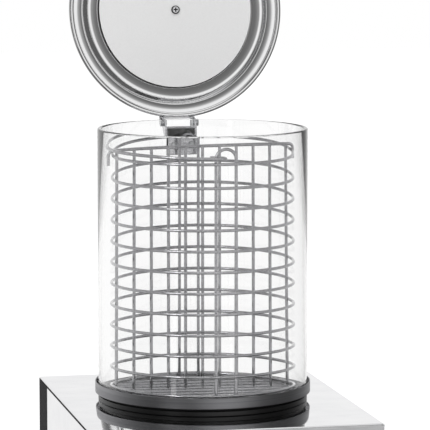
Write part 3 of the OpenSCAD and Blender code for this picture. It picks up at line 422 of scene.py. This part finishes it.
# Borosilicate tube: clear and colourless, with the slight draw lines of its making
def makeClearGlass():
    material, tree, surface = newMaterial("borosilicate glass", "#FFFFFF", 0, Transmission_Weight=1, IOR=1.47)
    lines = add(tree, "ShaderNodeTexNoise", {"Vector": patternPlace(tree, (25 * mm, 25 * mm, 400 * mm)),
                                             "Scale": 1, "Detail": 1}).outputs["Fac"]
    relief = add(tree, "ShaderNodeBump", {"Strength": 0.015, "Distance": mm, "Height": lines}).outputs[0]
    tree.links.new(relief, surface.inputs["Normal"])
    return material


materials["polished_steel"] = makeCoverSteel()
materials["clear_glass"] = makeClearGlass()
screwSteel = makeScrewSteel()
print("materials made")


# Makes a mesh an object that stands for its CAD nodes
def finishPiece(name, mesh, material, *stoodFor):
    mesh.materials.clear()
    mesh.materials.append(material)
    piece = bpy.data.objects.new(name, mesh)
    bpy.context.scene.collection.objects.link(piece)
    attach(piece, bodyOf[stoodFor[0]])
    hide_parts(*stoodFor)


# Smooth faces, with edges sharper than the angle kept sharp. The rounded edges of flat sheets are smooth in
# themselves and don't bend the shading of the sheets.
def shade(bm, angle, rounded=()):
    limit = math.radians(angle)
    for face in bm.faces:
        face.smooth = True
        face.material_index = 0
    for edge in bm.edges:
        sides = edge.link_faces
        inside = sum(face in rounded for face in sides)
        edge.smooth = len(sides) == 2 and (inside == 2 or (inside == 0 and edge.calc_face_angle(0) < limit))


# A copy of a CAD node with its triangles joined, flat faces whole again and its edges rounded to a width
def dressed(node, edge, angle=28):
    rounded = set()
    bm = bmesh.new()
    bm.from_mesh(nodes[node].data)
    bmesh.ops.remove_doubles(bm, verts=bm.verts, dist=0.002 * mm)
    bmesh.ops.dissolve_degenerate(bm, edges=bm.edges, dist=0.001 * mm)
    if edge:
        bmesh.ops.dissolve_limit(bm, angle_limit=math.radians(0.5), verts=bm.verts, edges=bm.edges)
        sharp = [e for e in bm.edges if len(e.link_faces) == 2 and e.calc_face_angle(0) > math.radians(angle)]
        made = bmesh.ops.bevel(bm, geom=sharp, offset=edge * mm, segments=2, profile=0.5, affect="EDGES",
                               clamp_overlap=True)
        rounded = set(made["faces"])
    shade(bm, angle, rounded)
    mesh = bpy.data.meshes.new(node + ".dressed")
    bm.to_mesh(mesh)
    bm.free()
    return mesh


# A closed outline of (radius, height) pairs in millimetres, turned round the Z axis
def lathe(name, outline, segments=256, place=Matrix()):
    bm = bmesh.new()
    rings = []
    for i in range(segments):
        a = 2 * math.pi * i / segments
        rings.append([bm.verts.new(place @ Vector((r * mm * math.cos(a), r * mm * math.sin(a), z * mm)))
                      for r, z in outline])
    count = len(outline)
    for i in range(segments):
        here, there = rings[i], rings[(i + 1) % segments]
        for k in range(count):
            following = (k + 1) % count
            bm.faces.new((here[k], there[k], there[following], here[following]))
    bmesh.ops.remove_doubles(bm, verts=bm.verts, dist=samePoint)
    bmesh.ops.recalc_face_normals(bm, faces=bm.faces)
    shade(bm, 40)
    mesh = bpy.data.meshes.new(name)
    bm.to_mesh(mesh)
    bm.free()
    return mesh


# Points on an arc of a circle, between two angles in degrees
def arc(centre, radius, start, end, steps):
    turns = [math.radians(start + (end - start) * i / steps) for i in range(steps + 1)]
    return [(centre[0] + radius * math.cos(t), centre[1] + radius * math.sin(t)) for t in turns]


# Points on a curve that leaves its first point towards the second and ends at the third
def curve(a, b, c, steps=12):
    return [tuple((1 - t) ** 2 * a[k] + 2 * t * (1 - t) * b[k] + t * t * c[k] for k in (0, 1))
            for t in (i / steps for i in range(steps + 1))]


# The glass: a plain tube whose rim and foot are fire polished
glassSizes = {"outer": 100, "inner": 96, "round": 1.4, "rim": rimHeight / mm,
              "foot": (rimHeight - cadSize("glass_cylinder").z) / mm}


def makeGlass():
    g = glassSizes
    r = g["round"]
    outer, inner, foot, rim = g["outer"] - r, g["inner"] + r, g["foot"] + r, g["rim"] - r
    outline = (arc((outer, foot), r, -90, 0, 6) + arc((outer, rim), r, 0, 90, 6)
               + arc((inner, rim), r, 90, 180, 6) + arc((inner, foot), r, 180, 270, 6))
    finishPiece("glassTube", lathe("glassTube", outline), materials["clear_glass"], "glass_cylinder")


makeGlass()
print("glass made")

# The seal: a rounded lower step, and above it a narrower one that leans out to the dish. It stands on its
# outer part, and has room inside that for the flange of the pan.
sealSizes = {"bore": 90, "foot": 96.3, "outer": 100, "neck": 98.1, "upper": 98.9, "stepShare": 0.58,
             "round": 0.9, "undercut": 0.7, "flangeRoom": 1, "clear": 0.02, "edge": 0.3}


def makeSeal():
    g = sealSizes
    base = topPlate / mm
    height = cadSize("seal_ring").z / mm
    r, step, end = g["round"], base + g["stepShare"] * height, base + height
    flange, foot = base + g["flangeRoom"], base + g["clear"]
    outer, upper, edge, undercut = g["outer"], g["upper"], g["edge"], g["undercut"]
    outline = ([(g["bore"], flange), (g["foot"], flange), (g["foot"], foot), (outer - undercut, foot),
                (outer, base + undercut)]
               + arc((outer - r, step - r), r, 0, 90, 5)
               + [(g["neck"], step), (upper, end - edge), (upper - edge, end), (g["bore"], end)])
    finishPiece("sealRing", lathe("sealRing", outline), materials["black_rubber"], "seal_ring")


makeSeal()


# Rounds the corners of a row of points, so that bends in sheet metal catch the light. Turns of fewer degrees
# than the least one are left, because the steps of an arc are smooth enough.
def bent(path, radius, steps=6, leastTurn=12):
    points = [Vector(p) for p in path]
    made = [points[0]]
    for before, here, after in zip(points, points[1:], points[2:]):
        a, b = (before - here), (after - here)
        turn = math.pi - a.angle(b)
        if turn < math.radians(leastTurn):
            made.append(here)
            continue
        reach = min(radius * math.tan(turn / 2), 0.45 * a.length, 0.45 * b.length)
        start, end = here + a.normalized() * reach, here + b.normalized() * reach
        made += [Vector(p) for p in curve(start, here, end, steps)]
    return made + [points[-1]]


# The two faces of a bent sheet
def sheetSides(path, thickness):
    sides = ([], [])
    for i, here in enumerate(path):
        along = (path[min(i + 1, len(path) - 1)] - path[max(i - 1, 0)]).normalized()
        across = Vector((-along.y, along.x)) * thickness / 2
        sides[0].append(tuple(here + across))
        sides[1].append(tuple(here - across))
    return sides


# The dish: a flat floor with an upturned edge inside, a round ridge, and an upright lip with round edges
dishSizes = {"sheet": 1.2, "hole": 78, "collar": 2.9, "ridge": 90.5, "ridgeRound": 2.4, "wall": 101.8,
             "outer": 103, "skirt": 1.6, "lip": 8.7, "bend": 1.2, "edge": 0.35, "underGlass": 0.3}


def makeDish():
    g = dishSizes
    half, edge = g["sheet"] / 2, g["edge"]
    floor = glassSizes["foot"] - g["underGlass"] - half
    path = ([(g["hole"], g["collar"]), (g["hole"], 0), (g["ridge"] - g["ridgeRound"], 0)]
            + arc((g["ridge"], 0), g["ridgeRound"], 150, 30, 12)
            + [(g["ridge"] + g["ridgeRound"], 0), (g["wall"], 0)])
    upper, lower = sheetSides(bent(path, g["bend"]), g["sheet"])
    lip = (arc((g["outer"] - half, g["lip"] - half), half, 180, 0, 12)
           + arc((g["outer"] - edge, edge - g["skirt"]), edge, 0, -90, 6) + [(g["wall"], -g["skirt"])])
    outline = [(r, z + floor) for r, z in upper + lip + lower[::-1]]
    finishPiece("pressedDish", lathe("pressedDish", outline), dishSteel, "dish")


makeDish()

# The lid's shell, in pairs of radius and height above the rim. Going out, it has a dome, a slope, a broad
# ridge, a channel with steep sides, a flat band and a rolled edge.
lidSizes = {"sheet": 1.0, "screwHole": 2.3, "dome": 14, "shoulder": (64, 4), "shoulderRound": 10,
            "slope": [(76.6, 1.8), (82.0, -0.4)], "ridge": (86.6, 4.4), "ridgeRound": 6, "ridgeSpan": 17,
            "channel": [(93.1, 2.45), (93.7, 2.45)], "channelSide": (97.6, 0.85),
            "flat": [(99.4, 0.8), (101.0, 0.8)], "edge": [(103.9, 0.7), (106.3, -1.6)],
            "roll": (104.2, -1.6), "rollRound": 2.1, "rollEnd": -215, "bend": 0.8}


def makeLid():
    g = lidSizes
    path = ([(g["screwHole"], g["dome"])] + arc(g["shoulder"], g["shoulderRound"], 90, 12, 16) + g["slope"]
            + arc(g["ridge"], g["ridgeRound"], 270 - g["ridgeSpan"], 270 + g["ridgeSpan"], 12)
            + g["channel"][:1] + curve(g["channel"][1], g["channelSide"], g["flat"][0])
            + curve(g["flat"][1], *g["edge"]) + arc(g["roll"], g["rollRound"], 0, g["rollEnd"], 36)[1:])
    upper, lower = sheetSides(bent(path, g["bend"]), g["sheet"])
    place = lidOpen @ Matrix.Translation((0, 0, rimHeight))
    shell = lathe("lidShell", upper + lower[::-1], place=place)
    finishPiece("lidShell", shell, lidSteel, "lid_shell")


makeLid()
print("seal, dish and lid made")


# A geometry tree with named inputs, given as label: kind of socket
def geometryTree(name, sockets):
    tree = bpy.data.node_groups.new(name, "GeometryNodeTree")
    tree.interface.new_socket("Geometry", in_out="OUTPUT", socket_type="NodeSocketGeometry")
    tree.interface.new_socket("Geometry", in_out="INPUT", socket_type="NodeSocketGeometry")
    for label, kind in {**sockets, "Material": "Material"}.items():
        tree.interface.new_socket(label, in_out="INPUT", socket_type="NodeSocket" + kind)
    return tree, add(tree, "NodeGroupInput").outputs


# Ends a tree: real, smooth geometry in the material given
def closeTree(tree, given, geometry):
    real = add(tree, "GeometryNodeRealizeInstances", {0: geometry}).outputs[0]
    smooth = add(tree, "GeometryNodeSetShadeSmooth", {0: real}).outputs[0]
    done = add(tree, "GeometryNodeSetMaterial", {"Geometry": smooth, "Material": given["Material"]})
    add(tree, "NodeGroupOutput", {0: done.outputs[0]})
    return tree


# Ends a tree whose curves become wires. Only open curves get caps.
def closeWires(tree, given, curves):
    section = add(tree, "GeometryNodeCurvePrimitiveCircle", {"Resolution": 14,
                                                             "Radius": given["Wire Radius"]}).outputs[0]
    tube = add(tree, "GeometryNodeCurveToMesh", {"Curve": curves, "Profile Curve": section,
                                                 "Fill Caps": True}).outputs[0]
    return closeTree(tree, given, tube)


# Runs a tree on a mesh and gives back the plain mesh that it makes
def grown(name, tree, values, mesh=None):
    holder = bpy.data.objects.new(name, mesh or bpy.data.meshes.new(name))
    bpy.context.scene.collection.objects.link(holder)
    modifier = holder.modifiers.new("nodes", "NODES")
    modifier.node_group = tree
    for socket in tree.interface.items_tree:
        if socket.in_out == "INPUT" and socket.name in values:
            modifier[socket.identifier] = values[socket.name]
    graph = bpy.context.evaluated_depsgraph_get()
    made = bpy.data.meshes.new_from_object(holder.evaluated_get(graph), depsgraph=graph)
    bpy.data.objects.remove(holder)
    made.name = name
    return made


# Several meshes made one
def joined(name, meshes, angle=40):
    bm = bmesh.new()
    for mesh in meshes:
        bm.from_mesh(mesh)
    bmesh.ops.remove_doubles(bm, verts=bm.verts, dist=samePoint)
    shade(bm, angle)
    mesh = bpy.data.meshes.new(name)
    bm.to_mesh(mesh)
    bm.free()
    return mesh


def wireTree():
    tree, given = geometryTree("wire along a path", {"Wire Radius": "Float"})
    path = add(tree, "GeometryNodeMeshToCurve", {"Mesh": given["Geometry"]}).outputs[0]
    return closeWires(tree, given, path)


def ringTree():
    tree, given = geometryTree("stack of wire rings", {
        "Ring Radius": "Float", "Wire Radius": "Float", "First Height": "Float", "Pitch": "Float",
        "Count": "Int"})
    start = add(tree, "ShaderNodeCombineXYZ", {2: given["First Height"]}).outputs[0]
    step = add(tree, "ShaderNodeCombineXYZ", {2: given["Pitch"]}).outputs[0]
    places = add(tree, "GeometryNodeMeshLine", {"Count": given["Count"], "Start Location": start,
                                                "Offset": step}).outputs[0]
    ring = add(tree, "GeometryNodeCurvePrimitiveCircle", {"Resolution": 144,
                                                          "Radius": given["Ring Radius"]}).outputs[0]
    rings = add(tree, "GeometryNodeInstanceOnPoints", {"Points": places, "Instance": ring}).outputs[0]
    return closeWires(tree, given, add(tree, "GeometryNodeRealizeInstances", {0: rings}).outputs[0])


def rodTree():
    tree, given = geometryTree("row of upright rods", {
        "Wire Radius": "Float", "Half Width": "Float", "Low End": "Float", "High End": "Float",
        "Count": "Int"})
    left = add(tree, "ShaderNodeMath", {0: given["Half Width"], 1: -1}, operation="MULTIPLY").outputs[0]
    start = add(tree, "ShaderNodeCombineXYZ", {0: left, 2: given["Low End"]}).outputs[0]
    end = add(tree, "ShaderNodeCombineXYZ", {0: given["Half Width"], 2: given["Low End"]}).outputs[0]
    places = add(tree, "GeometryNodeMeshLine", {"Count": given["Count"], "Start Location": start,
                                                "Offset": end}, mode="END_POINTS").outputs[0]
    length = add(tree, "ShaderNodeMath", {0: given["High End"], 1: given["Low End"]},
                 operation="SUBTRACT").outputs[0]
    top = add(tree, "ShaderNodeCombineXYZ", {2: length}).outputs[0]
    rod = add(tree, "GeometryNodeCurvePrimitiveLine", {"End": top}).outputs[0]
    rods = add(tree, "GeometryNodeInstanceOnPoints", {"Points": places, "Instance": rod}).outputs[0]
    return closeWires(tree, given, add(tree, "GeometryNodeRealizeInstances", {0: rods}).outputs[0])


# A mesh of plain edges through points given in millimetres, one run for each list
def paths(*runs):
    mesh = bpy.data.meshes.new("paths")
    points, edges = [], []
    for run in runs:
        edges += [(len(points) + i, len(points) + i + 1) for i in range(len(run) - 1)]
        points += [Vector(p) * mm for p in run]
    mesh.from_pydata(points, edges, [])
    return mesh


alongPath, ringStack, rodRow = wireTree(), ringTree(), rodTree()
print("geometry trees made")

# The basket: welded rings and floor rods, two tall loops and a divider of upright rods, in millimetres above
# what the feet stand on
basket = {
    "ringRadius": 86.8, "ringWire": 2.8, "rodWire": 3.0,
    "floorHeight": 109.8, "lowRing": 112.4, "secondRing": 130.2, "ringPitch": 19.5, "ringCount": 10,
    "topRing": 327.7, "floorRods": (-60, -40, -20, 20, 40, 60),
    "loopHalf": 9.5, "loopOut": 83.66, "loopShift": 4, "loopFoot": 108.3, "loopLegTop": 331.7,
    "dividerRods": 11, "dividerHalf": 83.0, "barHeight": 331.7, "barHalf": 86.9, "barBend": 4,
    "hookEnd": 318.7,
}


def makeBasket():
    g = basket
    steel = materials["steel_wire"]
    thin, thick = g["ringWire"] / 2 * mm, g["rodWire"] / 2 * mm
    stacks = [(g["lowRing"], 1), (g["secondRing"], g["ringCount"]), (g["topRing"], 1)]
    meshes = [grown("rings", ringStack, {
        "Ring Radius": g["ringRadius"] * mm, "Wire Radius": thin, "First Height": first * mm,
        "Pitch": g["ringPitch"] * mm, "Count": count, "Material": steel}) for first, count in stacks]
    runs = []
    for y in g["floorRods"]:
        half = math.sqrt(g["ringRadius"] ** 2 - y ** 2)
        runs.append([(x, y, g["floorHeight"]) for x in (-half, 0, half)])
    loop = ([(-g["loopHalf"], g["loopFoot"])] + arc((0, g["loopLegTop"]), g["loopHalf"], 180, 0, 24)
            + [(g["loopHalf"], g["loopFoot"])])
    # The loops stand at the front and back, both a little to the right of the middle
    for side in (-1, 1):
        turn = Matrix.Rotation(-side * math.asin(g["loopShift"] / g["loopOut"]), 3, "Z")
        runs.append([turn @ Vector((x, side * g["loopOut"], z)) for x, z in loop])
    meshes.append(grown("loops", alongPath, {"Wire Radius": thick, "Material": steel}, paths(*runs)))
    finishPiece("basketWires", joined("basketWires", meshes), steel, "basket_cage")

    rods = grown("rods", rodRow, {
        "Wire Radius": thick, "Half Width": g["dividerHalf"] * mm, "Low End": g["floorHeight"] * mm,
        "High End": g["barHeight"] * mm, "Count": g["dividerRods"], "Material": steel})
    bend, half = g["barBend"], g["barHalf"]
    corner = arc((half, g["barHeight"] - bend), bend, 90, 0, 8) + [(half + bend, g["hookEnd"])]
    bar = [(-x, 0, z) for x, z in reversed(corner)] + [(x, 0, z) for x, z in corner]
    low = g["dividerHalf"] + g["rodWire"] / 4
    foot = [(x, 0, g["floorHeight"]) for x in (-low, 0, low)]
    bars = grown("bars", alongPath, {"Wire Radius": thick, "Material": steel}, paths(bar, foot))
    finishPiece("dividerWires", joined("dividerWires", [rods, bars]), steel, "basket_divider")


makeBasket()

# The bail: one wire, hooked at both ends, that lies to the left on the top ring
bail = {"radius": 91.8, "wire": 3.0, "tilt": 2.0, "hookMiddle": (-0.5, 83.7), "hookBend": 3.9,
        "hookLength": 10, "straightTo": -18, "bendsAt": -32, "shoulder": 60}


def makeBail():
    g = bail
    a = math.radians(g["shoulder"])
    out = g["hookMiddle"][1] + g["hookBend"]
    half = ([(-g["hookLength"], g["hookMiddle"][1] - g["hookBend"])]
            + arc(g["hookMiddle"], g["hookBend"], -90, 90, 14)
            + curve((g["straightTo"], out), (g["bendsAt"], out),
                    (-g["radius"] * math.cos(a), g["radius"] * math.sin(a))))
    bow = arc((0, 0), g["radius"], 180 - g["shoulder"], 180 + g["shoulder"], 72)
    flat = half + bow[1:-1] + [(x, -y) for x, y in reversed(half)]
    mesh = paths([(x, y, 0) for x, y in flat])
    tilt = Matrix.Rotation(math.radians(g["tilt"]), 4, "Y")
    mesh.transform(Matrix.Translation(bailPivot) @ tilt @ Matrix.Translation((-bailPivot.x, -bailPivot.y, 0)))
    steel = materials["steel_wire"]
    wire = grown("bail", alongPath, {"Wire Radius": g["wire"] / 2 * mm, "Material": steel}, mesh)
    finishPiece("bailWire", joined("bailWire", [wire]), steel, "bail_handle")


makeBail()
print("basket and bail made")

# The steam plate: staggered round holes inside a plain pressed rim, whose underside lies in the sheet
steamPlate = {"hole": 3.0, "pitch": 5.0, "perRow": 37, "reach": 80.5, "top": 108.0, "thickness": 1.0,
              "rimOuter": 84, "rimInner": 77.6, "rimTop": 108.2, "outerEdge": 0.4, "innerEdge": (0.3, 0.2),
              "rimSides": 192, "overlap": 0.02}


def sheetTree():
    tree, given = geometryTree("perforated sheet", {"Pitch": "Float", "Reach": "Float", "Per Row": "Int"})
    rows = add(tree, "ShaderNodeMath", {0: given["Pitch"], 1: math.sqrt(3)}, operation="MULTIPLY").outputs[0]
    gaps = add(tree, "ShaderNodeMath", {0: given["Per Row"], 1: 1}, operation="SUBTRACT").outputs[0]
    wide = add(tree, "ShaderNodeMath", {0: given["Pitch"], 1: gaps}, operation="MULTIPLY").outputs[0]
    deep = add(tree, "ShaderNodeMath", {0: rows, 1: gaps}, operation="MULTIPLY").outputs[0]
    grid = add(tree, "GeometryNodeMeshGrid", {"Size X": wide, "Size Y": deep, "Vertices X": given["Per Row"],
                                              "Vertices Y": given["Per Row"]}).outputs[0]
    halfX = add(tree, "ShaderNodeMath", {0: given["Pitch"], 1: 0.5}, operation="MULTIPLY").outputs[0]
    halfY = add(tree, "ShaderNodeMath", {0: rows, 1: 0.5}, operation="MULTIPLY").outputs[0]
    shift = add(tree, "ShaderNodeCombineXYZ", {0: halfX, 1: halfY}).outputs[0]
    second = add(tree, "GeometryNodeTransform", {"Geometry": grid, "Translation": shift}).outputs[0]
    both = add(tree, "GeometryNodeJoinGeometry", {0: grid})
    tree.links.new(second, both.inputs[0])  # a join takes all its parts at one input
    away = add(tree, "ShaderNodeVectorMath", {0: add(tree, "GeometryNodeInputPosition").outputs[0]},
               operation="LENGTH").outputs["Value"]
    near = add(tree, "ShaderNodeMath", {0: away, 1: given["Reach"]}, operation="LESS_THAN").outputs[0]
    tiles = add(tree, "GeometryNodeInstanceOnPoints", {"Points": both.outputs[0], "Selection": near,
                                                       "Instance": given["Geometry"]}).outputs[0]
    return closeTree(tree, given, tiles)


# One six-sided tile with a round hole of twelve sides through it
def holeTile(g):
    bm = bmesh.new()
    corners = []
    apothem, hole = g["pitch"] / 2, g["hole"] / 2
    top, under = g["top"], g["top"] - g["thickness"]
    for i in range(12):
        a = math.radians(30 * i)
        far = apothem if i % 2 == 0 else apothem / math.cos(math.radians(30))
        corners.append([bm.verts.new(Vector((d * math.cos(a), d * math.sin(a), z)) * mm)
                        for d, z in ((far, top), (hole, top), (hole, under), (far, under))])
    for i in range(12):
        here, there = corners[i], corners[(i + 1) % 12]
        for k in range(3):
            bm.faces.new((here[k], here[k + 1], there[k + 1], there[k]))
    bmesh.ops.recalc_face_normals(bm, faces=bm.faces)
    mesh = bpy.data.meshes.new("tile")
    bm.to_mesh(mesh)
    bm.free()
    return mesh


def makeSteamPlate():
    g = steamPlate
    steel = materials["brushed_steel"]
    sheet = grown("sheet", sheetTree(), {"Pitch": g["pitch"] * mm, "Reach": g["reach"] * mm,
                                         "Per Row": g["perRow"], "Material": steel}, holeTile(g))
    low, high = g["top"] - g["thickness"] + g["overlap"], g["rimTop"]
    inner, outer, edge = g["rimInner"], g["rimOuter"], g["outerEdge"]
    inwards, down = g["innerEdge"]
    rim = lathe("rim", [(inner, low), (outer, low), (outer, high - edge), (outer - edge, high),
                        (inner + inwards, high), (inner, high - down)], g["rimSides"])
    finishPiece("perforatedPlate", joined("perforatedPlate", [sheet, rim], 30), steel, "steam_plate")


makeSteamPlate()
print("steam plate made")

# Every other CAD node is dressed. These have rounded edges, with their widths in millimetres.
edgeWidths = {
    "cover": 0.3, "front_panel": 0.3, "rear_panel": 0.3, "base_plate": 0.3, "feet": 0.6, "hinge_bracket": 0.2,
    "bracket_pad": 0.2, "thermostat_knob": 0.3, "power_rocker": 0.4, "switch_body": 0.3,
}
for node in sorted(nodes):
    if nodes[node].hide_render:
        continue
    material = screwSteel if node == "lid_screw" else materials[slotOf[node]]
    finishPiece(node + ".part", dressed(node, edgeWidths.get(node, 0)), material, node)
print("CAD nodes dressed")
